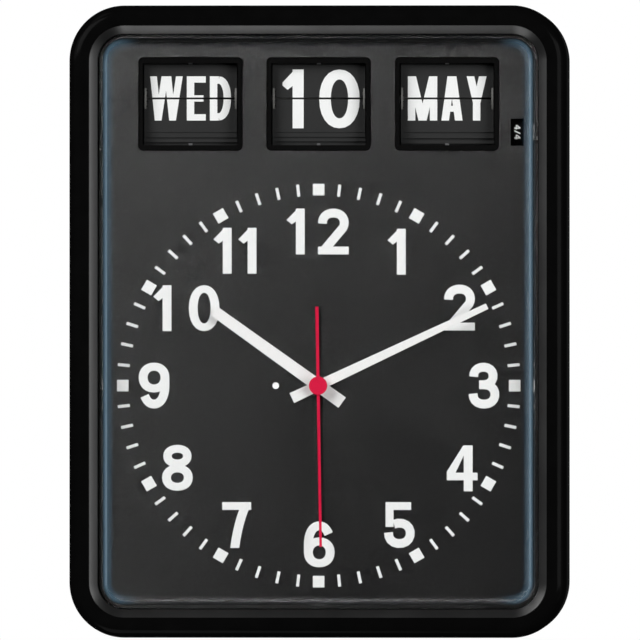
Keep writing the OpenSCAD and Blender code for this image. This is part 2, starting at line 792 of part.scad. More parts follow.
module year_wheel() color(black) at_unit(2) translate([0, year_y, year_z]) difference() {
    rod_x(year_r, year_x0, year_x1);
    rod_x(1.55, year_x0 - 1, year_x1 + 1);
    for (s = [year_x0 - 1, year_x1 - 2]) difference() {
        rod_x(year_r - 2, s, s + 3);
        rod_x(3.5, s - 1, s + 4);
    }
}

// Four marks round the wheel, read from the side: year of four
module year_wheel_print() color(ink) at_unit(2) translate([0, year_y, year_z])
    for (k = [0 : 3]) rotate([90 * k, 0, 0]) intersection() {
        difference() {
            rod_x(year_r + ink_t, year_x0 + 1, year_x1 - 1);
            rod_x(year_r, year_x0, year_x1);
        }
        slab_y(-year_r - 1, -year_r + 2) translate([(year_x0 + year_x1) / 2, 0]) rotate(-90)
            translate([-4.6, -1.9]) {
                figure(k == 0 ? 4 : k, 2.9, 3.8, 0.9);
                polygon([[3.2, 0], [4.1, 0], [5.9, 3.8], [5, 3.8]]);
                translate([6.2, 0]) figure(4, 2.9, 3.8, 0.9);
            }
    }

// Movement. Wheel places are measured from the hub.

function gear_points(n, m, fill) = let (r = n * m / 2, ra = r + 0.85 * m, rd = r - 1.15 * m, a = 360 / n)
    [for (i = [0 : n - 1], p = [[rd, -0.5], [ra, -0.2], [ra, 0.2], [rd, 0.5]])
        let (t = a * (i + p[1] * fill)) [p[0] * cos(t), p[0] * sin(t)]];

// A toothed wheel, turned so that a tooth points along (angle a)
module gear(n, m, a, y0, y1, fill = 0.62) slab_y(y0, y1) rotate(a) polygon(gear_points(n, m, fill));

function polar(r, a) = [r * cos(a), 0, r * sin(a)];

third_a = 60;
third_at = polar(13.6, third_a);
motion_a = -45;
motion_at = polar(12, motion_a);
knob_at = motion_at + polar(12.6, motion_a);
day_at = [-18, 0, 0];
inter_a = 250;
inter_m = 0.48;
inter_at = polar(30 * inter_m, inter_a);
rotor_a = 180;
fine_m = 0.3;
rotor_at = inter_at + polar(28 * fine_m, rotor_a);
third_m = 0.4;
centre_m = third_m * 68 / 72;
run = 0.05;
pivot_r = 0.4;
stud_r = 0.5;

// Depths of the wheels behind the front shell's face
ly = [for (d = [1.4, 2.6, 3.9, 6.6, 8.6, 10.6, 12.6]) move_front + d];
shell_t = 1.6;
front_rear = move_front + 10;
arbor_y0 = move_front + 1;
arbor_y1 = move_rear - 1.5;
rotor_y = ly[6] + 1.9;
lead_r = 0.7;
coil_z = -25.5;
coil_r = 3.6;
board_z = 22;
board_w = 48;
lead_x = 12;
stator_x0 = rotor_at[0] - 7.2;
stator_x1 = rotor_at[0] + 14.4;
stator_posts = [[stator_x0 + 1.9, 0, rotor_at[2] + 4], [stator_x1 - 1.9, 0, rotor_at[2] - 3.8]];
board_posts = [for (s = [-1, 1]) [s * 20, 0, board_z]];

module shell_box(y0, y1) slab_y(y0, y1) rounded(move_a, move_a, 5);

module inner_box(y0, y1) slab_y(y0, y1) rounded(move_a - 2 * shell_t, move_a - 2 * shell_t, 3.5);

// Posts that stand on a shell, with the stud or the blind hole for a wheel
module post(at, r, y0, y1) translate(at) rod_y(r, y0, y1);

module movement_front_shell() color(shell_black) at_hub() difference() {
    union() {
        difference() {
            shell_box(move_front, front_rear);
            inner_box(move_front + shell_t / 2, front_rear + 1);
        }
        for (sx = [-1, 1], sz = [-1, 1]) translate([sx * (move_a / 2 - 5), 0, sz * (move_a / 2 - 5)])
            rod_y(3, dial_rear, front_rear);
        rod_y(bush_d / 2, dial_y - 4, move_front + shell_t / 2);
        post(motion_at, 1, move_front + 0.5, ly[3] - 0.9);
        for (p = [third_at, knob_at]) post(p, 1.6, move_front + 0.5, ly[0] - 0.2);
    }
    rod_y(hour_pipe_d / 2 + run, dial_y - 5, move_front + 3);
    post(third_at, pivot_r + run, arbor_y0 - 0.2, ly[0] + 1);
    post(knob_at, pivot_r + run, arbor_y0 - 0.2, ly[0] + 1);
    post(day_at, 1 + run, move_front - 1, ly[0] + 1);
}

module movement_back_shell() color(shell_black) at_hub() difference() {
    union() {
        difference() {
            shell_box(front_rear, move_rear);
            inner_box(front_rear - 1, move_rear - shell_t);
        }
        for (p = [[0, 0, 0], third_at]) post(p, 1.6, move_rear - 3, move_rear - 1);
        for (p = stator_posts) post(p, 1.3, rotor_y + 0.5, move_rear - 1);
        for (p = board_posts) post(p, 1.5, ly[6] + 1, move_rear - 1);
        post(inter_at, stud_r, ly[5] - 0.8, move_rear - 1);
        post(inter_at, 1, ly[6] + 0.6, move_rear - 1);
        post(rotor_at, stud_r, ly[6] - 0.8, move_rear - 1);
    }
    post(third_at, pivot_r + run, move_rear - 4, arbor_y1 + 0.3);
    rod_y(arbor_d / 2 + run, move_rear - 4, arbor_y1 + 0.3);
    post(knob_at, 2.1, move_rear - 5, move_rear + 1);
    // the leads pass through the rear wall
    for (s = [-1, 1]) post([s * lead_x, 0, board_z], lead_r + 0.3, move_rear - 3, move_rear + 1);
}

module fixing_nut() color(shell_black) at_hub() difference() {
    slab_y(dial_y - 2.2, dial_y) circle(r = bush_d / 2 + 1.8, $fn = 6);
    rod_y(bush_d / 2 + run, dial_y - 4, dial_y + 1);
}

// Pivot ends of an arbor turn in the shells' blind holes
module arbor(r, y0, y1) {
    rod_y(r, y0 + 0.9, y1 - 1.9);
    rod_y(pivot_r, y0, y1);
}

module second_wheel() color(brass) at_hub() {
    rod_y(arbor_d / 2, second_y - 0.4, arbor_y1);
    gear(50, inter_m, inter_a, ly[5] - 0.4, ly[5] + 0.4);
    gear(8, third_m, third_a + 180 / 8, ly[4] - 0.6, ly[4] + 0.6);
}

module third_wheel() color(brass) at_hub() translate(third_at) {
    arbor(0.7, arbor_y0, arbor_y1);
    gear(60, third_m, third_a + 180, ly[4] - 0.4, ly[4] + 0.4);
    gear(8, centre_m, third_a + 180, ly[3] - 0.6, ly[3] + 0.6);
}

pipe_neck_r = 2.1;

module centre_wheel() color(brass) at_hub() difference() {
    union() {
        rod_y(minute_pipe_d / 2, minute_y - 0.5, ly[2] - 0.7);
        rod_y(pipe_neck_r, ly[2] - 0.8, ly[3] + 0.8);
        gear(64, centre_m, third_a + 180 / 64, ly[3] - 0.4, ly[3] + 0.4);
        gear(10, mod_m, motion_a + 180 / 10, ly[2] - 0.7, ly[2] + 0.7);
    }
    rod_y(arbor_d / 2 + run, minute_y - 1, ly[3] + 2);
}

module motion_wheel() color(nylon) at_hub() translate(motion_at) difference() {
    union() {
        gear(30, mod_m, motion_a + 180, ly[2] - 0.5, ly[2] + 0.5);
        gear(8, mod_m, motion_a + 180, ly[1] - 0.6, ly[1] + 0.6);
        rod_y(1.5, ly[1], ly[2]);
    }
    rod_y(1 + run, ly[1] - 1, ly[2] + 1);
}

module hour_wheel() color(nylon) at_hub() difference() {
    union() {
        rod_y(hour_pipe_d / 2, hour_y - 0.4, ly[1] + 0.5);
        gear(32, mod_m, motion_a + 180 / 32, ly[1] - 0.45, ly[1] + 0.45);
        gear(20, mod_m, 180 / 20, ly[0] - 0.45, ly[0] + 0.45);
    }
    rod_y(minute_pipe_d / 2 + run, hour_y - 1, ly[1] + 1);
}

disc_y = dial_rear + 0.35;
day_disc_r = 12.2;

module day_wheel() color(black) at_hub() translate(day_at) {
    gear(40, mod_m, 0, ly[0] - 0.45, ly[0] + 0.45);
    rod_y(1, disc_y, ly[0] + 0.8);
    rod_y(day_disc_r, disc_y, disc_y + 0.8);
}

// White for half of the day
module day_disc_print() color(ink) at_hub() translate(day_at) slab_y(disc_y - ink_t, disc_y)
    difference() {
        circle(day_disc_r - 0.4);
        translate([0, -day_disc_r - 1]) square([day_disc_r + 1, 2 * day_disc_r + 2]);
    }

module intermediate_wheel() color(nylon) at_hub() translate(inter_at) difference() {
    union() {
        gear(10, inter_m, inter_a + 180 + 180 / 10, ly[5] - 0.6, ly[5] + 0.6);
        gear(48, fine_m, rotor_a, ly[6] - 0.4, ly[6] + 0.4);
        rod_y(1, ly[5], ly[6]);
    }
    rod_y(stud_r + run, ly[5] - 1, ly[6] + 1);
}

module rotor() color(steel) at_hub() translate(rotor_at) difference() {
    union() {
        gear(8, fine_m, rotor_a + 180 + 180 / 8, ly[6] - 0.6, ly[6] + 0.6);
        rod_y(0.85, ly[6], rotor_y);
        rod_y(2.8, rotor_y - 0.9, rotor_y + 0.9);
    }
    rod_y(stud_r + run, ly[6] - 1, rotor_y + 1);
}

// One lamination round the rotor, with a leg at each end of the coil's core
leg_w = 3.6;

module stator() color(steel) at_hub() difference() {
    union() {
        slab_y(rotor_y - 0.5, rotor_y + 0.5) {
            translate([stator_x0, rotor_at[2] - 5.6]) square([stator_x1 - stator_x0, 11.6]);
            for (x = [stator_x0, stator_x1 - leg_w])
                translate([x, coil_z - 2]) square([leg_w, rotor_at[2] - coil_z - 3]);
        }
        translate([0, rotor_y, coil_z]) rod_x(1.2, stator_x0 + leg_w - 0.1, stator_x1 - leg_w + 0.1);
    }
    post(rotor_at, 3.4, rotor_y - 3, rotor_y + 3);
    post(inter_at, 1.4, rotor_y - 3, rotor_y + 3);
}

module coil() color(copper) at_hub() translate([0, rotor_y, coil_z]) {
    x0 = stator_x0 + leg_w + 0.2;
    x1 = stator_x1 - leg_w - 0.2;
    difference() {
        union() {
            rod_x(coil_r - 0.7, x0, x1);
            for (x = [x0, x1 - 1]) rod_x(coil_r, x, x + 1);
        }
        rod_x(1.25, x0 - 1, x1 + 1);
    }
}

module circuit_board() color([0.1, 0.35, 0.15]) at_hub() {
    translate([-board_w / 2, ly[6], board_z - 6]) cube([board_w, 1, 12]);
    translate([-4, ly[6] - 1.2, board_z - 2]) cube([5, 1.2, 4]);
    translate([0, ly[6] - 1.5, board_z + 3.5]) rod_x(1.5, 2, 9);
}

// Front of each hand, outwards from the dial
hour_y = dial_y - 6;
minute_y = dial_y - 9;
second_y = dial_y - 13;
hour_deg = 305.6;
minute_deg = 64.8;
second_deg = 179.1;

// A sheet hand pointing up: tapered from the tail to the tip
module hand_blade(len, tail, w0, w1)
    polygon([[-w0 / 2, -tail], [w0 / 2, -tail], [w1 / 2, len], [-w1 / 2, len]]);

// The clock shows the time of the photograph at rest
module hand(deg, y, len, w0, w1, boss_d, bore_d) rotate([0, deg, 0]) difference() {
    union() {
        slab_y(y - hand_t / 2, y + hand_t / 2) hand_blade(len, hand_tail, w0, w1);
        rod_y(boss_d / 2, y - hand_t / 2, y + 1.4);
    }
    rod_y(bore_d / 2 + 0.02, y - 2, y + 3);
}

module hour_hand() color(ink) at_hub()
    hand(hour_deg, hour_y, track_r - hour_short, hour_w, hour_w * 0.86, hour_pipe_d + 3, hour_pipe_d);

module minute_hand() color(ink) at_hub()
    hand(minute_deg, minute_y, track_r - minute_short, minute_w, minute_w * 0.55, minute_pipe_d + 3, minute_pipe_d);

module second_hand() color(red) at_hub() difference() {
    rotate([0, second_deg, 0]) {
        slab_y(second_y - 0.25, second_y + 0.25)
            hand_blade(track_r - second_short, second_tail, second_w, second_w * 0.8);
        rod_y(1.6, second_y, second_y + 1.8);
        rod_y(cap_d / 2, second_y - 2, second_y - 0.24);
    }
    rod_y(arbor_d / 2 + 0.02, second_y - 0.6, second_y + 3);
}

// Knob at the back that sets the hands
knob_y1 = -2;
knob_y0 = -11;

module time_set_knob() color(black) at_hub() translate(knob_at) {
    gear(12, mod_m, motion_a + 180 + 180 / 12, ly[2] - 0.6, ly[2] + 0.6);
    rod_y(pivot_r, arbor_y0, ly[2]);
    rod_y(1.6, ly[2] - 0.8, move_rear - 5);
    rod_y(2, move_rear - 6, knob_y0 + 1);
    slab_y(knob_y0, knob_y1) difference() {
        circle(10);
        for (k = [0 : 23]) rotate(15 * k) translate([10.3, 0]) circle(r = 0.8, $fn = 16);
    }
}

// Back

cell_y = cover_y - 2.6 - cell_d / 2;
cell_z = -cell_drop;
knob_hole_r = 12;
plate_w = 30;
plate_h = 30;
door_t = 2.2;
bay_t = 2;
bay_gap = 0.6;
bay_x = door_w / 2 + bay_gap;
bay_y = cell_y - cell_d / 2 - bay_t;
hinge_r = 1.3;
hinge_pin_r = 0.6;
hinge_z = cell_z - door_h / 2 + hinge_r + 0.3;
hinge_y = -hinge_r - 0.1;

module key_outline() {
    circle(key_r);
    translate([-key_slot / 2, 0]) square([key_slot, key_r + 5]);
    translate([0, key_r + 5]) circle(key_slot / 2);
}

module rear_cover() color(black) difference() {
    at_centre() slab_y(cover_y, 0) rounded(case_w - 1.6, case_h - 1.6, case_r - 0.8);
    // recess and opening behind the hanger plate
    slab_y(-1.6, 1) translate([0, 2]) square([plate_w + 0.4, plate_h + 0.4], center = true);
    slab_y(cover_y - 1, 1) translate([0, 3]) square([plate_w - 14, plate_h - 6], center = true);
    for (p = hanger_screw_at) translate([p[0], 0, p[1]]) rod_y(1, cover_y - 8, 1);
    at_hub() translate(knob_at) rod_y(knob_hole_r, cover_y - 1, 1);
    for (i = [0 : 2]) at_unit(i)
        translate([(blade_x0 + blade_x1) / 2, 0, blade_z + blade_h / 2])
            rod_y(head_r + 0.4, cover_y - 1, 1);
    at_centre() corner_places() {
        rod_y(1.6, cover_y - 1, 1);
        rod_y(3, -1.8, 1);
    }
    at_centre() translate([0, 0, cell_z]) slab_y(cover_y - 1, 1)
        square([door_w, door_h], center = true);
    // holes for the door's pins
    at_centre() translate([0, hinge_y, hinge_z]) rod_x(hinge_pin_r + 0.08, -door_w / 2 - 2, door_w / 2 + 2);
}

hanger_screw_at = [[-11.5, 2], [11.5, 2]];

module hanger_plate() color(steel) difference() {
    slab_y(-1.5, 0) difference() {
        translate([0, 2]) square([plate_w, plate_h], center = true);
        key_outline();
    }
    for (p = hanger_screw_at) translate([p[0], 0, p[1]]) {
        rod_y(1.2, -3, 1);
        rod_y(2.3, -0.9, 1);
    }
}

// Battery bay: four walls, a floor with two saddles for the cell, and a hole for each lead
bay_w = 2 * bay_x;
bay_h = door_h + 2 * bay_gap;
saddle_x = 22;
saddle_t = 2;

module battery_bay() color(black) at_centre() translate([0, 0, cell_z]) difference() {
    union() {
        slab_y(bay_y, cover_y) difference() {
            square([bay_w + 2 * bay_t, bay_h + 2 * bay_t], center = true);
            square([bay_w, bay_h], center = true);
        }
        slab_y(bay_y, bay_y + bay_t * 0.7) square([bay_w + eps, bay_h + eps], center = true);
        for (s = [0, 1]) mirror([s, 0, 0]) translate([saddle_x, bay_y + eps, -bay_h / 2 - eps])
            cube([saddle_t, cell_y - bay_y, bay_h + 2 * eps]);
    }
    for (s = [0, 1]) mirror([s, 0, 0]) {
        translate([0, cell_y, 0]) rod_x(cell_d / 2 + 0.3, saddle_x - 1, saddle_x + saddle_t + 1);
        translate([0, cell_y, 0]) rod_x(lead_r + 0.3, bay_x - 1, bay_x + bay_t + 1);
    }
}

// Battery door, hinged along its lower edge and caught at the top
module battery_door() color(black) at_centre() {
    top = door_h - hinge_r - 0.7;
    translate([0, 0, hinge_z]) {
        translate([-door_w / 2 + 0.4, -door_t - 0.1, 0.6]) cube([door_w - 0.8, door_t, top - 0.6]);
        translate([0, hinge_y, 0]) rod_x(hinge_r, -door_w / 2 + 0.4, door_w / 2 - 0.4);
        translate([0, hinge_y, 0]) rod_x(hinge_pin_r, -door_w / 2 - 1.4, door_w / 2 + 1.4);
        translate([-6, -4.4, top - 1.4]) cube([12, 4, 1.2]);
    }
}

module battery_cell() color([0.55, 0.56, 0.58]) at_centre() translate([0, cell_y, cell_z]) {
    rod_x(cell_d / 2, -cell_l / 2 + 1, cell_l / 2 - 2);
    rod_x(cell_d / 2 - 2, -cell_l / 2, -cell_l / 2 + 1 + eps);
    rod_x(4.8, cell_l / 2 - 2 - eps, cell_l / 2);
}

contact_t = 0.5;

module battery_contacts() color(brass) at_centre() translate([0, cell_y, cell_z])
    for (s = [0, 1]) mirror([s, 0, 0]) {
        translate([bay_x - contact_t, -7, -7]) cube([contact_t, 14, 14]);
        translate([cell_l / 2, -4, -4]) cube([bay_x - contact_t - cell_l / 2 + eps, contact_t, 8]);
    }

// A lead in straight runs with round elbows
module lead(points) {
    for (i = [0 : len(points) - 2]) {
        d = points[i + 1] - points[i];
        l = norm(d);
        translate(points[i]) rotate([0, acos(d[2] / l), atan2(d[1], d[0])])
            cylinder(r = lead_r, h = l, $fn = 16);
    }
    for (i = [1 : len(points) - 2]) translate(points[i]) sphere(lead_r * 1.01, $fn = 16);
}

module battery_leads() {
    out_x = bay_x + bay_t + lead_r + 1;
    rise_z = cell_z + door_h / 2 + 12;
    rise_y = move_rear + lead_r + 1.4;
    for (s = [-1, 1]) color(s > 0 ? red : black) at_centre() lead([
        [s * bay_x, cell_y, cell_z],
        [s * out_x, cell_y, cell_z],
        [s * out_x, cell_y, rise_z],
        [s * lead_x, rise_y, rise_z],
        [s * lead_x, rise_y, hub_z + board_z],
        [s * lead_x, ly[6] + 1, hub_z + board_z]]);
}

// Screws

module screw(head_r, head_t, shank_r, shank_l) difference() {
    union() {
        rod_y(head_r, 0, head_t);
        rod_y(shank_r, -shank_l, eps);
    }
    for (a = [0, 90]) rotate([0, a, 0]) translate([-head_r * 0.6, head_t * 0.45, -0.25])
        cube([head_r * 1.2, head_t, 0.5]);
}

// The screws of the rear cover, the hanger plate, the dial and the display units
module screws() color(steel) {
    at_centre() corner_places() translate([0, -1.8, 0]) screw(2.8, 1.5, 1.15, 12);
    for (p = hanger_screw_at) translate([p[0], -0.9, p[1]]) screw(2.2, 0.8, 0.95, 6);
    at_centre() dial_places() translate([0, dial_rear, 0]) screw(2.4, 1.4, 0.95, 8);
    for (i = [0 : 2], p = foot_places) at_unit(i)
        translate([p[0], dial_rear + pad_t, p[1]]) screw(2.1, 1.3, 0.85, 3.2);
}

front_case();
front_lens();
dial_plate();
hour_numerals();
minute_track();
weekday_window_frame();
date_window_frame();
month_window_frame();
leaf_hooks();
weekday_unit_frame();
date_unit_frame();
month_unit_frame();
drum_shafts();
weekday_drum();
date_drum();
month_drum();
weekday_leaf_pack();
date_leaf_pack();
month_leaf_pack();
weekday_pack_print();
date_pack_print();
month_pack_print();
weekday_falling_leaf();
date_falling_leaf();
month_falling_leaf();
weekday_falling_print();
date_falling_print();
month_falling_print();
weekday_set_plunger();
date_set_plunger();
month_set_plunger();
year_wheel();
year_wheel_print();
movement_front_shell();
movement_back_shell();
fixing_nut();
stator();
coil();
circuit_board();
rotor();
intermediate_wheel();
second_wheel();
third_wheel();
centre_wheel();
motion_wheel();
hour_wheel();
day_wheel();
day_disc_print();
time_set_knob();
hour_hand();
minute_hand();
second_hand();
rear_cover();
hanger_plate();
battery_bay();
battery_door();
battery_cell();
battery_contacts();
battery_leads();
screws();
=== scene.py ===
# %% [markdown]
# # A wall calendar clock, dressed for the camera
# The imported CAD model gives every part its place. This lesson loads it as a fixed frame, gives
# each part a finish made of nodes, and rebuilds the two parts whose soft curves carry the
# reflections: the glossy frame and the clear lens. The scene is in metres, and the clock looks
# along -Y with +Z up.

# %% Load the frame
import math

import bmesh
import bpy
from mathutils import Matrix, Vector


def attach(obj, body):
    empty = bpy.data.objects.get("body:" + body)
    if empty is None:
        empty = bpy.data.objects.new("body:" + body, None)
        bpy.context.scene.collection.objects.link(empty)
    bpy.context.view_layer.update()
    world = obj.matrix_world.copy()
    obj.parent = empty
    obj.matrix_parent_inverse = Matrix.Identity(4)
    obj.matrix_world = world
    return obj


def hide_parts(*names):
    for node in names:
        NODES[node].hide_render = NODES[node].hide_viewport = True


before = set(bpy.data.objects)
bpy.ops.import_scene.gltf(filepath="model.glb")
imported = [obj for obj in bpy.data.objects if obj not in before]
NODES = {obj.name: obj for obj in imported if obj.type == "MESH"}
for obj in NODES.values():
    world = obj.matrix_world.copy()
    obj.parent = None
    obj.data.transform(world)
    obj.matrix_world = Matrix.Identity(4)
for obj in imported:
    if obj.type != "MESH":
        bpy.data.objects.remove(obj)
scene = bpy.context.scene
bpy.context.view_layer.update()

# %% [markdown]
# ## Sizes of the case
# The frame and the lens repeat the CAD model's own numbers, in millimetres, so that the new
# surfaces lie exactly where the solids are. `MM` turns them into metres at the last moment.
# A name with `U` is a distance in from the outer edge, and one with `Y` is a depth.

# %% Sizes shared by the frame and the lens
MM = 0.001
CASE_W, CASE_H, CASE_R = 315.0, 400.0, 35.0
CENTRE_Z = -174.0
RIM_Y, BACK_Y = -85.0, -3.0
EDGE_R, CROWN, BEVEL_W, BEVEL_DROP = 8.0, 4.6, 5.8, 4.5
WALL, SKIRT_T = 3.0, 2.5
LIP_U = EDGE_R + CROWN + BEVEL_W
DIAL_Y = RIM_Y + 22.0
LENS_Y, LENS_T, LENS_R, LENS_GAP, FOOT_T = RIM_Y + 2.0, 2.0, 6.0, 2.2, 1.8
LENS_U = LIP_U + LENS_GAP
PLAY = 0.2  # left free between the dial, the lens's foot and the skirt
print("the lens stands", LENS_U, "mm in from the outer edge")

# %% [markdown]
# ## Sweeping a section round a rounded rectangle
# A moulded frame is one cross-section carried round a path. `sweep` takes the section as
# points (u, y): u millimetres in from the outer edge and y in depth. Round each corner the
# point turns about the corner's centre, so all the rings stay parallel. Many small steps in
# the corners keep the reflections smooth.

# %% The sweep helper
CORNER_STEPS = 28


def stations():
    """Corner centres and outward directions, once round the path."""
    out = []
    for quarter, (sx, sz) in enumerate(((1, 1), (-1, 1), (-1, -1), (1, -1))):
        centre = (sx * (CASE_W / 2 - CASE_R), sz * (CASE_H / 2 - CASE_R))
        for k in range(CORNER_STEPS + 1):
            a = math.radians(90 * quarter + 90 * k / CORNER_STEPS)
            out.append((centre, (math.cos(a), math.sin(a))))
    return out


def arc(cu, cy, radius, a0, a1, steps):
    """Points on an arc of a section, angles in degrees."""
    angles = [math.radians(a0 + (a1 - a0) * k / steps) for k in range(steps + 1)]
    return [(cu + radius * math.cos(a), cy + radius * math.sin(a)) for a in angles]


def smooth(piece, angle=32):
    """Smooth shading that keeps real edges sharp, with the faces turned outwards."""
    mesh = piece.data
    bm = bmesh.new()
    bm.from_mesh(mesh)
    bmesh.ops.recalc_face_normals(bm, faces=bm.faces)
    bm.to_mesh(mesh)
    bm.free()
    mesh.shade_smooth()
    mesh.set_sharp_from_angle(angle=math.radians(angle))


def sweep(name, section, closed, caps=False):
    """A mesh object made by carrying the section round the case's outline."""
    path = stations()
    verts, faces = [], []
    for u, y in section:
        for (cx, cz), (dx, dz) in path:
            reach = CASE_R - u
            verts.append(((cx + reach * dx) * MM, y * MM, (CENTRE_Z + cz + reach * dz) * MM))
    n, rings = len(path), len(section)
    for i in range(rings if closed else rings - 1):
        a, b = i * n, (i + 1) % rings * n
        for k in range(n):
            j = (k + 1) % n
            faces.append((a + k, a + j, b + j, b + k))
    if caps:
        faces.append(tuple(range(n)))
        faces.append(tuple(range((rings - 1) * n, rings * n))[::-1])
    mesh = bpy.data.meshes.new(name)
    mesh.from_pydata(verts, [], faces)
    mesh.validate()
    piece = bpy.data.objects.new(name, mesh)
    scene.collection.objects.link(piece)
    smooth(piece)
    print(name, len(verts), "points,", len(faces), "faces")
    return piece


print("sweep ready,", len(stations()), "points to a ring")

# %% [markdown]
# ## Node helpers
# Every finish below is built from nodes, so these few helpers keep the cells short. `Tree`
# adds a node, sets its values and links it in one line. Its other helpers add the nodes that
# come up most often, and return the output that is wanted.

# %% A small builder for node trees
class Tree:
    """Adds nodes to one node tree."""

    def __init__(self, tree):
        self.tree = tree

    def add(self, kind, inputs=None, **settings):
        node = self.tree.nodes.new(kind)
        for key, value in settings.items():
            setattr(node, key, value)
        for key, value in (inputs or {}).items():
            socket = node.inputs[key]
            if isinstance(value, bpy.types.NodeSocket):
                self.tree.links.new(value, socket)
            else:
                socket.default_value = value
        return node

    def link(self, a, b):
        self.tree.links.new(a, b)

    def calc(self, operation, a, b):
        """A sum, product or the like of two values."""
        return self.add("ShaderNodeMath", {0: a, 1: b}, operation=operation).outputs[0]

    def vector(self, operation, *values):
        """The same for vectors."""
        node = self.add("ShaderNodeVectorMath", dict(enumerate(values)), operation=operation)
        return node.outputs["Value" if operation == "LENGTH" else "Vector"]

    def ramp(self, value, start, end, low=0.0, high=1.0, kind="LINEAR"):
        """Takes start..end to low..high, and holds the value beyond both ends."""
        sockets = {"Value": value, "From Min": start, "From Max": end,
                   "To Min": low, "To Max": high}
        return self.add("ShaderNodeMapRange", sockets, interpolation_type=kind).outputs[0]

    def mixed(self, factor, first, second):
        """The first shader where the factor is 0, and the second where it is 1."""
        return self.add("ShaderNodeMixShader", {0: factor, 1: first, 2: second}).outputs[0]


def new_group(name, inputs, outputs):
    """A shader node group with named sockets: (name, kind, default)."""
    group = bpy.data.node_groups.new(name, "ShaderNodeTree")
    for label, kind, default in inputs:
        socket = group.interface.new_socket(name=label, in_out="INPUT", socket_type=kind)
        socket.default_value = default
    for label, kind in outputs:
        group.interface.new_socket(name=label, in_out="OUTPUT", socket_type=kind)
    t = Tree(group)
    return group, t, t.add("NodeGroupInput").outputs, t.add("NodeGroupOutput").inputs


FLOAT, COLOUR, VECTOR = "NodeSocketFloat", "NodeSocketColor", "NodeSocketVector"
print("node helpers ready")

# %% [markdown]
# ## Shared effects
# Real surfaces are never even. Three small groups are used by most finishes, and a fourth
# by the lens:
#
# - `speckle` breaks a colour up into two near shades, at a fine and a broad scale;
# - `moulded_grain` gives the height of a spark-eroded mould texture, and a faint smudge mask
#   that changes the gloss where fingers have been;
# - `brushed_lines` is a stretched noise for metal that was drawn or brushed;
# - `edge_band` is a mask that rises towards the case's edge, between two insets in metres. Its
#   `Sides` keep to the crest of the left and the right edge, where the lens gets a painted
#   highlight.

# %% The speckle group
BROAD = 0.06  # scale of the broad spots, as a share of the fine ones'

speckle, t, gin, gout = new_group(
    "speckle",
    [("Colour A", COLOUR, (0.5, 0.5, 0.5, 1)), ("Colour B", COLOUR, (0.4, 0.4, 0.4, 1)),
     ("Scale", FLOAT, 300.0), ("Amount", FLOAT, 0.5)],
    [("Colour", COLOUR), ("Mask", FLOAT)])
coord = t.add("ShaderNodeTexCoord").outputs["Object"]
fine = t.add("ShaderNodeTexNoise",
             {"Vector": coord, "Scale": gin["Scale"], "Detail": 4.0, "Roughness": 0.6})
broad_scale = t.calc("MULTIPLY", gin["Scale"], BROAD)
broad = t.add("ShaderNodeTexNoise", {"Vector": coord, "Scale": broad_scale, "Detail": 3.0})
both = t.calc("MULTIPLY", fine.outputs["Fac"], broad.outputs["Fac"])
spread = t.ramp(both, 0.15, 0.38)
mask = t.calc("MULTIPLY", spread, gin["Amount"])
mix = t.add("ShaderNodeMix", {"Factor": mask}, data_type="RGBA")
t.link(gin["Colour A"], mix.inputs[6])
t.link(gin["Colour B"], mix.inputs[7])
t.link(mix.outputs[2], gout["Colour"])
t.link(mask, gout["Mask"])
print("group:", speckle.name)

# %% The moulded grain group
grain, t, gin, gout = new_group(
    "moulded_grain",
    [("Scale", FLOAT, 1500.0), ("Roughness Low", FLOAT, 0.3), ("Roughness High", FLOAT, 0.4),
     ("Smudge Scale", FLOAT, 22.0)],
    [("Height", FLOAT), ("Roughness", FLOAT)])
coord = t.add("ShaderNodeTexCoord").outputs["Object"]
pits = t.add("ShaderNodeTexNoise",
             {"Vector": coord, "Scale": gin["Scale"], "Detail": 2.0, "Roughness": 0.7})
smudge = t.add("ShaderNodeTexNoise",
               {"Vector": coord, "Scale": gin["Smudge Scale"], "Detail": 5.0, "Distortion": 0.6})
gloss = t.ramp(smudge.outputs["Fac"], 0.35, 0.7, gin["Roughness Low"], gin["Roughness High"])
t.link(pits.outputs["Fac"], gout["Height"])
t.link(gloss, gout["Roughness"])
print("group:", grain.name)

# %% The brushed lines group
brushed, t, gin, gout = new_group(
    "brushed_lines",
    [("Direction Scale", VECTOR, (40.0, 900.0, 900.0)), ("Roughness Low", FLOAT, 0.25),
     ("Roughness High", FLOAT, 0.45)],
    [("Height", FLOAT), ("Roughness", FLOAT)])
coord = t.add("ShaderNodeTexCoord").outputs["Object"]
stretch = t.vector("MULTIPLY", coord, gin["Direction Scale"])
lines = t.add("ShaderNodeTexNoise", {"Vector": stretch, "Scale": 1.0, "Detail": 3.0})
rough = t.ramp(lines.outputs["Fac"], 0.3, 0.7, gin["Roughness Low"], gin["Roughness High"])
t.link(lines.outputs["Fac"], gout["Height"])
t.link(rough, gout["Roughness"])
print("group:", brushed.name)

# %% The edge band group
SIDE_FROM, SIDE_TO = 0.045, 0.03  # insets from the left and right edges, in metres
CREST_FROM, CREST_TO = 0.0203, 0.0218
CORNER = ((CASE_W / 2 - CASE_R) * MM, 1, (CASE_H / 2 - CASE_R) * MM)

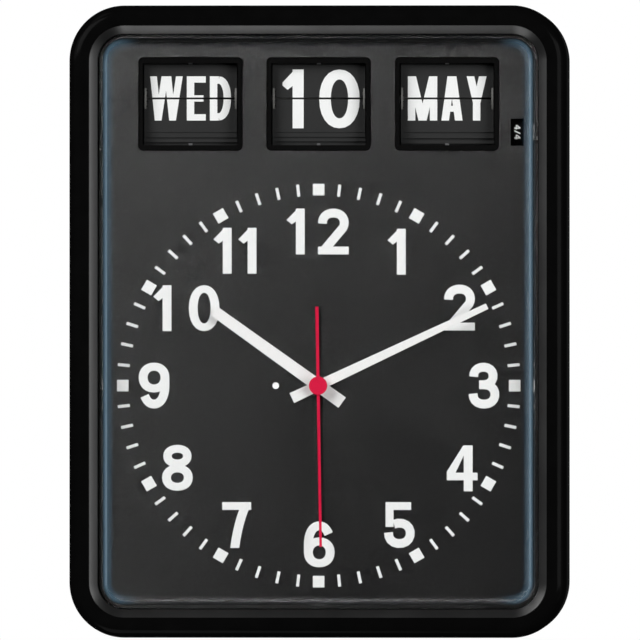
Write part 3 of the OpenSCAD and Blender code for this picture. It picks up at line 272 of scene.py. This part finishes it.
edge_band, t, gin, gout = new_group(
    "edge_band",
    [("Inner", FLOAT, 0.029), ("Outer", FLOAT, 0.022)],
    [("Mask", FLOAT), ("Sides", FLOAT)])
coord = t.add("ShaderNodeTexCoord").outputs["Object"]
across = t.vector("ABSOLUTE", t.vector("SUBTRACT", coord, (0, 0, CENTRE_Z * MM)))
past = t.vector("MAXIMUM", t.vector("SUBTRACT", across, CORNER), (0, 0, 0))
inset = t.calc("SUBTRACT", CASE_R * MM, t.vector("LENGTH", past))
band = t.ramp(inset, gin["Inner"], gin["Outer"], kind="SMOOTHSTEP")
t.link(band, gout["Mask"])
# Sides: the left and right edges only, where the lens's painted highlight band goes
sideways = t.add("ShaderNodeSeparateXYZ", {0: across}).outputs["X"]
half = CASE_W / 2 * MM
flank = t.ramp(sideways, half - SIDE_FROM, half - SIDE_TO, kind="SMOOTHSTEP")
crest = t.ramp(inset, CREST_FROM, CREST_TO, kind="SMOOTHSTEP")
t.link(t.calc("MULTIPLY", t.calc("MULTIPLY", flank, crest), band), gout["Sides"])
print("group:", edge_band.name)

# %% [markdown]
# ## Finishes
# `finish` makes one material: a Principled shader whose colour comes from `speckle`, whose
# gloss and tiny bumps come from `moulded_grain` or `brushed_lines`, and whose fixed numbers
# sit on the shader's own sockets.

# %% One maker for the plain finishes
def finish(name, colour, shade, spots=300.0, amount=0.6, grain_scale=1500.0, rough=(0.3, 0.4),
           bump=0.02, lines=None, **sockets):
    """A material from two near colours, a roughness range and a bump depth in millimetres."""
    material = bpy.data.materials.new(name)
    material.use_nodes = True
    tree = Tree(material.node_tree)
    shader = material.node_tree.nodes["Principled BSDF"]
    tone = tree.add("ShaderNodeGroup", node_tree=speckle)
    tone.inputs["Colour A"].default_value = (*colour, 1)
    tone.inputs["Colour B"].default_value = (*shade, 1)
    tone.inputs["Scale"].default_value = spots
    tone.inputs["Amount"].default_value = amount
    tree.link(tone.outputs["Colour"], shader.inputs["Base Color"])
    surface = tree.add("ShaderNodeGroup", node_tree=brushed if lines else grain)
    if lines:
        surface.inputs["Direction Scale"].default_value = lines
    else:
        surface.inputs["Scale"].default_value = grain_scale
    surface.inputs["Roughness Low"].default_value = rough[0]
    surface.inputs["Roughness High"].default_value = rough[1]
    tree.link(surface.outputs["Roughness"], shader.inputs["Roughness"])
    relief = tree.add("ShaderNodeBump", {"Strength": 0.5, "Distance": bump * MM,
                                         "Height": surface.outputs["Height"]})
    tree.link(relief.outputs["Normal"], shader.inputs["Normal"])
    for key, value in sockets.items():
        shader.inputs[key.replace("_", " ")].default_value = value
    return material


def wear(material, *nodes):
    """Gives CAD nodes or pieces this material alone."""
    for item in nodes:
        piece = NODES[item] if isinstance(item, str) else item
        piece.data.materials.clear()
        piece.data.materials.append(material)


print("finish and wear ready")

# %% [markdown]
# ### Plastics and paint
# The frame is high-gloss black, but a polished mould still leaves a soft sheen, so its
# roughness is low and a little uneven. Its bevel is satin, with a grey lighter than the rim's
# that is partly painted sheen, standing in for light the bevel reflects. The cover at the back
# is duller still. The dial is satin paint, the leaves are matte grey sheet, and the window
# surrounds are black with almost no shine.

# %% Plastics and paint
case_black = finish("case_black", (0.0016, 0.0016, 0.0016), (0.0026, 0.0026, 0.0026), spots=60,
                    rough=(0.13, 0.2), bump=0.003, grain_scale=700, Specular_IOR_Level=0.012)
cover_black = finish("cover_black", (0.013, 0.013, 0.0135), (0.02, 0.02, 0.021), spots=160,
                     rough=(0.42, 0.55), bump=0.02, grain_scale=900)
# bevel: satin finish, its grey lighter than the rim's partly as painted sheen
bevel_satin_painted_sheen = finish("bevel_satin_painted_sheen", (0.006, 0.006, 0.006), (0.01, 0.01, 0.01), spots=90,
                     rough=(0.32, 0.4), bump=0.01, grain_scale=1800)
inner_black = finish("inner_black", (0.012, 0.012, 0.013), (0.02, 0.02, 0.021),
                     rough=(0.45, 0.6), bump=0.03)
window_black = finish("window_black", (0.0012, 0.0012, 0.0012), (0.002, 0.002, 0.002),
                      rough=(0.5, 0.6), bump=0.02, Specular_IOR_Level=0.06)
dial_paint = finish("dial_paint", (0.0038, 0.0038, 0.0038), (0.0048, 0.0048, 0.0048), spots=500,
                    rough=(0.19, 0.22), bump=0.0004, grain_scale=2500, Specular_IOR_Level=0.4)
leaf_plastic = finish("leaf_plastic", (0.014, 0.0145, 0.0145), (0.019, 0.019, 0.019), spots=700,
                      rough=(0.55, 0.65), bump=0.01, grain_scale=2500, Specular_IOR_Level=0.3)
print_white = finish("print_white", (0.89, 0.9, 0.89), (0.83, 0.84, 0.83), spots=500, amount=0.5,
                     rough=(0.45, 0.55), bump=0.005)
hand_white = finish("hand_white", (0.9, 0.9, 0.89), (0.85, 0.85, 0.84), spots=200, amount=0.5,
                    rough=(0.25, 0.35), bump=0.01, grain_scale=900)
hand_red = finish("hand_red", (0.72, 0.012, 0.06), (0.6, 0.01, 0.045), spots=200,
                  rough=(0.22, 0.3), bump=0.008, grain_scale=900, Coat_Weight=0.4)
nylon = finish("drum_nylon", (0.74, 0.73, 0.68), (0.66, 0.65, 0.6), rough=(0.38, 0.5), bump=0.02,
               Subsurface_Weight=0.15, Subsurface_Scale=0.002)
drum_grey = finish("drum_grey", (0.2, 0.2, 0.19), (0.14, 0.14, 0.135), rough=(0.45, 0.55),
                   bump=0.02)
print("plastics and paints made")

# %% [markdown]
# ### Metals, wire and board
# Brushed steel and brass carry long fine scratches. The coil's bump is fine lines round its
# axis, the board is green lacquer, and the cell has a plain printed jacket.

# %% Metals and the electrical parts
steel = finish("plain_steel", (0.5, 0.5, 0.51), (0.4, 0.4, 0.41), lines=(900, 60, 900),
               rough=(0.25, 0.42), bump=0.006, Metallic=1.0)
brass = finish("brass", (0.68, 0.47, 0.17), (0.52, 0.34, 0.12), lines=(500, 500, 60),
               rough=(0.25, 0.4), bump=0.006, Metallic=1.0)
copper = finish("copper_coil", (0.42, 0.14, 0.045), (0.28, 0.08, 0.025), lines=(6000, 30, 30),
                rough=(0.25, 0.4), bump=0.08, Coat_Weight=0.5)
board_green = finish("board_green", (0.016, 0.1, 0.04), (0.03, 0.16, 0.07), spots=900,
                     rough=(0.25, 0.35), bump=0.02, Coat_Weight=0.3)
cell_jacket = finish("cell_silver", (0.3, 0.31, 0.33), (0.24, 0.25, 0.27), lines=(60, 900, 900),
                     rough=(0.2, 0.32), bump=0.006, Metallic=0.6)
lead_skin = finish("lead_red", (0.4, 0.012, 0.012), (0.3, 0.01, 0.01), rough=(0.4, 0.5),
                   bump=0.02)
print("metals made")

# %% [markdown]
# ### The clear lens
# The lens is clear plastic two millimetres thick. A glass shader alone would throw a dark
# shadow on the dial, because rays that look for the lamps can't bend through it. So shadow
# rays, and rays that have bounced off a surface, find the material plainly transparent. The
# moulded edge is less polished than the flat front, so its highlights are broad. On the left
# and right edges a bluish diffuse band is mixed in as a painted highlight, lit by the cool
# lamps.

# %% The lens material
PLASTIC_IOR = 1.47
EDGE_ROUGH = 0.3
# how much of the bluish painted-highlight band is mixed into the lens's left and right edges
HIGHLIGHT_SHARE = 0.36

lens_clear = bpy.data.materials.new("lens_clear")
lens_clear.use_nodes = True
t = Tree(lens_clear.node_tree)
glass = lens_clear.node_tree.nodes["Principled BSDF"]
glass.inputs["Transmission Weight"].default_value = 1.0
glass.inputs["IOR"].default_value = PLASTIC_IOR
tint = t.add("ShaderNodeGroup", node_tree=speckle)
tint.inputs["Colour A"].default_value = (1.0, 1.0, 1.0, 1)
tint.inputs["Colour B"].default_value = (0.99, 0.995, 0.995, 1)
tint.inputs["Scale"].default_value = 60
t.link(tint.outputs["Colour"], glass.inputs["Base Color"])
haze = t.add("ShaderNodeGroup", node_tree=grain)
haze.inputs["Roughness Low"].default_value = 0.02
haze.inputs["Roughness High"].default_value = 0.045
edge = t.add("ShaderNodeGroup", node_tree=edge_band)
softer = t.ramp(edge.outputs["Mask"], 0.0, 1.0, haze.outputs["Roughness"], EDGE_ROUGH)
t.link(softer, glass.inputs["Roughness"])
rays = t.add("ShaderNodeLightPath").outputs
clear = t.add("ShaderNodeBsdfTransparent", {"Color": (0.96, 0.96, 0.96, 1)})
# painted highlight: a bluish diffuse band on the lens's left and right edges, in place of the
# edge highlights
painted_highlight = t.add("ShaderNodeBsdfDiffuse", {"Color": (0.55, 0.82, 1, 1)})
share = t.calc("MULTIPLY", edge.outputs["Sides"], HIGHLIGHT_SHARE)
glass_and_highlight = t.mixed(share, glass.outputs[0], painted_highlight.outputs[0])
bounced = t.calc("MAXIMUM", rays["Is Diffuse Ray"], rays["Is Glossy Ray"])
indirect = t.calc("MAXIMUM", rays["Is Shadow Ray"], bounced)
t.link(t.mixed(indirect, glass_and_highlight, clear.outputs[0]),
       lens_clear.node_tree.nodes["Material Output"].inputs["Surface"])
print("lens material made")

# %% [markdown]
# ## The frame
# The frame's section runs up the side, over a rounded edge, across a narrow crown, down the
# inner bevel and back along the skirt that holds the lens. It is swept once round the case.
# The crease above the bevel and the lip below it are softened by three points each, given
# here as steps (u, y) from the sharp corner.

# %% Sweep the frame
CREASE = ((-0.5, 0.0), (-0.12, 0.07), (0.25, 0.3))
LIP = ((-0.5, -0.35), (-0.1, 0.1), (0.0, 0.6))
UNDER_CREASE, UNDER_LIP = 0.4, 0.8 * WALL

crease_u, lip_y = EDGE_R + CROWN, RIM_Y + BEVEL_DROP
skirt_end = DIAL_Y - FOOT_T - 2 * PLAY
section = [(0, BACK_Y)]
section += arc(EDGE_R, RIM_Y + EDGE_R, EDGE_R, 180, 270, steps=14)
section += [(crease_u + du, RIM_Y + dy) for du, dy in CREASE]
BEVEL_RING = len(section) - 1
section += [(LIP_U + du, lip_y + dy) for du, dy in LIP]
section += [(LIP_U, skirt_end), (LIP_U - SKIRT_T, skirt_end),
            (LIP_U - SKIRT_T, lip_y + UNDER_LIP), (crease_u - UNDER_CREASE, RIM_Y + WALL)]
section += arc(EDGE_R, RIM_Y + EDGE_R, EDGE_R - WALL, 270, 180, steps=8)
section += [(WALL, BACK_Y)]
case_frame = sweep("case_frame", section, closed=True)
wear(case_black, case_frame)
# the bevel band's finish, whose lighter grey is partly painted sheen
case_frame.data.materials.append(bevel_satin_painted_sheen)
ring = len(stations())
for face in case_frame.data.polygons:
    face.material_index = int(face.index // ring == BEVEL_RING)
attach(case_frame, "case")
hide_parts("front_case")

# %% [markdown]
# ## The lens
# The lens is a shallow tray: a flat front, a rounded edge and a wall that stands on the dial
# with a small foot. Outer and inner skins are one mesh, so light bends through a real
# thickness.

# %% Sweep the lens
FOOT_SHORT = 0.3  # the foot ends this far inside the skirt's outer face

foot_y = DIAL_Y - FOOT_T - PLAY
foot_u = LIP_U - SKIRT_T + FOOT_SHORT
lens_centre = (LENS_U + LENS_R, LENS_Y + LENS_R)
section = arc(*lens_centre, LENS_R, 270, 180, steps=16)
section += [(LENS_U, foot_y), (foot_u, foot_y), (foot_u, foot_y + FOOT_T),
            (LENS_U + LENS_T, foot_y + FOOT_T)]
section += arc(*lens_centre, LENS_R - LENS_T, 180, 270, steps=12)
lens_cover = sweep("lens_cover", section, closed=False, caps=True)
wear(lens_clear, lens_cover)
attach(lens_cover, "case")
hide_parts("front_lens")

# %% [markdown]
# ## Dressing the solids
# Everything else keeps its CAD shape and gets its finish here, grouped by what it is made of.

# %% Finishes for the CAD nodes
UNITS = ("weekday", "date", "month")


def each(pattern):
    """One name for each of the three displays."""
    return [pattern.format(unit) for unit in UNITS]


wear(dial_paint, "dial_plate")
wear(print_white, "hour_numerals", "minute_track", "year_wheel_print", "day_disc_print",
     *each("{}_pack_print"), *each("{}_falling_print"))
wear(window_black, "year_wheel", "day_wheel", *each("{}_window_frame"))
wear(leaf_plastic, *each("{}_leaf_pack"), *each("{}_falling_leaf"))
wear(inner_black, "movement_front_shell", "movement_back_shell", "fixing_nut",
     *each("{}_unit_frame"))
wear(nylon, "intermediate_wheel", "motion_wheel", "hour_wheel", *each("{}_set_plunger"))
wear(drum_grey, *each("{}_drum"))
wear(steel, "leaf_hooks", "drum_shafts", "stator", "rotor", "hanger_plate", "screws")
wear(brass, "second_wheel", "third_wheel", "centre_wheel", "battery_contacts")
wear(cover_black, "rear_cover", "battery_bay", "battery_door", "time_set_knob")
wear(copper, "coil")
wear(board_green, "circuit_board")
wear(cell_jacket, "battery_cell")
wear(lead_skin, "battery_leads")
wear(hand_white, "hour_hand", "minute_hand")
wear(hand_red, "second_hand")
bare = [n for n, o in NODES.items() if not o.data.materials and not o.hide_render]
print("nodes without a finish:", bare)

# %% [markdown]
# ## World, light and camera
# The clock hangs before plain white. The world is white for the camera and for what is seen
# through glass. Mirror-like rays meet that white only behind the clock, and dimmed: the room
# in front is dark, as it is behind a photographer, or the black gloss would look grey.

# %% World
WHITE = (1, 1, 1, 1)
WALL_FROM, WALL_TO = -0.1, 0.4  # how far rays point backwards, where the white wall fades in
ROOM_LIGHT = 0.015
MIRRORED = 0.02

world = bpy.data.worlds.new("studio")
scene.world = world
world.use_nodes = True
t = Tree(world.node_tree)
world.node_tree.nodes.clear()
rays = t.add("ShaderNodeLightPath").outputs
direction = t.add("ShaderNodeTexCoord").outputs["Generated"]
backwards = t.add("ShaderNodeSeparateXYZ", {0: direction}).outputs["Y"]
behind = t.ramp(backwards, WALL_FROM, WALL_TO, ROOM_LIGHT, 1.0, kind="SMOOTHSTEP")
dimmed = t.calc("MULTIPLY", behind, MIRRORED)


def glow(colour, strength):
    """An even light from all sides."""
    return t.add("ShaderNodeBackground", {"Color": colour, "Strength": strength}).outputs[0]


ambient, mirror = glow(WHITE, ROOM_LIGHT), glow((0.97, 0.99, 1, 1), dimmed)
through, white = glow(WHITE, behind), glow(WHITE, 1.0)
seen = t.mixed(rays["Is Glossy Ray"], ambient, mirror)
seen = t.mixed(rays["Is Transmission Ray"], seen, through)
seen = t.mixed(rays["Is Camera Ray"], seen, white)
t.add("ShaderNodeOutputWorld", {"Surface": seen})
print("world made")

# %% [markdown]
# ### Lamps
# A key high on the left and a fill on the right light the whole clock, and a third soft box
# lights its back. The lens is left out of these three, and gets lamps of its own. The other
# lamps are linked to one piece each, like small reflectors: two `sheen` lamps stand close to
# the camera's mirror line and make the satin dial paler towards the left and the top, one
# reaches the white half disc behind its little hole, two cool ones draw the lines down the
# lens's edges, and four lift the satin bevel.

# %% Lamps
MIDDLE = Vector((0, -0.06, CENTRE_Z * MM))
COOL = (0.7, 0.87, 1)


def soft_lamp(name, place, width, height, power, colour=(1, 1, 1), only=(), spare=()):
    """A soft box aimed at the clock's middle, for the pieces in `only` or all but `spare`."""
    lamp = bpy.data.lights.new(name, "AREA")
    lamp.shape, lamp.size, lamp.size_y = "RECTANGLE", width, height
    lamp.energy, lamp.color = power, colour
    holder = bpy.data.objects.new(name, lamp)
    holder.location = place
    holder.rotation_mode = "QUATERNION"
    holder.rotation_quaternion = (MIDDLE - Vector(place)).to_track_quat("-Z", "Y")
    scene.collection.objects.link(holder)
    holder.visible_transmission = False
    if only or spare:
        group = bpy.data.collections.new("for " + name)
        for piece in only or spare:
            group.objects.link(piece)
        for linked in group.collection_objects:
            linked.light_linking.link_state = "INCLUDE" if only else "EXCLUDE"
        holder.light_linking.receiver_collection = group


dial = NODES["dial_plate"]
soft_lamp("key", (-1.9, -2.2, 1.2), 1.8, 1.8, 101, spare=[lens_cover])
soft_lamp("fill", (2.0, -2.0, 0.2), 1.6, 1.6, 68, spare=[lens_cover])
soft_lamp("rear", (1.7, 2.6, 1.3), 1.8, 1.8, 110, spare=[lens_cover, dial, case_frame])
soft_lamp("sheen_left", (-0.53, -4.0, -0.15), 0.3, 0.9, 4.4, only=[dial])
soft_lamp("sheen_top", (-0.2, -4.0, 0.34), 0.7, 0.3, 8, only=[dial])
soft_lamp("day_dot", (-0.35, -3.0, -0.1), 0.2, 0.2, 80, only=[NODES["day_disc_print"]])
soft_lamp("edge_left", (-1.6, -0.65, -0.17), 0.6, 1.0, 15, COOL, only=[lens_cover])
soft_lamp("edge_right", (1.6, -0.65, -0.2), 0.6, 1.0, 15, COOL, only=[lens_cover])
soft_lamp("bevel_left", (1.3, -0.6, -0.2), 0.6, 1.3, 2.2, only=[case_frame])
soft_lamp("bevel_right", (-1.3, -0.6, 0.35), 0.6, 0.6, 3.4, only=[case_frame])
soft_lamp("bevel_top", (-0.4, -0.55, -1.5), 0.9, 0.6, 8, only=[case_frame])
soft_lamp("bevel_foot", (-0.8, -0.5, 1.1), 0.5, 0.5, 2.2, only=[case_frame])
print("lamps placed")

# %% [markdown]
# ### Camera
# The camera stands twelve metres away with a long lens, as a product photographer does, and two
# degrees to the right. Its aim lies a little right of the case's middle and above it. The
# numbers come from matching the outline in the photograph.

# %% Camera
DISTANCE, AZIMUTH = 12.0, 2.0
VIEW_W = 0.40458
SENSOR = 36
AIM_RIGHT, AIM_UP = 0.00142, 0.00101

a = math.radians(AZIMUTH)
aim = Vector((AIM_RIGHT * math.cos(a), RIM_Y * MM + AIM_RIGHT * math.sin(a),
              CENTRE_Z * MM + AIM_UP))
camera_data = bpy.data.cameras.new("camera")
camera_data.sensor_width = SENSOR
camera_data.lens = SENSOR * DISTANCE / VIEW_W
camera_data.clip_end = 100
camera = bpy.data.objects.new("camera", camera_data)
camera.location = aim + Vector((math.sin(a), -math.cos(a), 0)) * DISTANCE
camera.rotation_mode = "QUATERNION"
camera.rotation_quaternion = (aim - camera.location).to_track_quat("-Z", "Y")
scene.collection.objects.link(camera)
scene.camera = camera
scene.view_settings.view_transform = "Standard"
print("camera at", [round(v, 3) for v in camera.location])
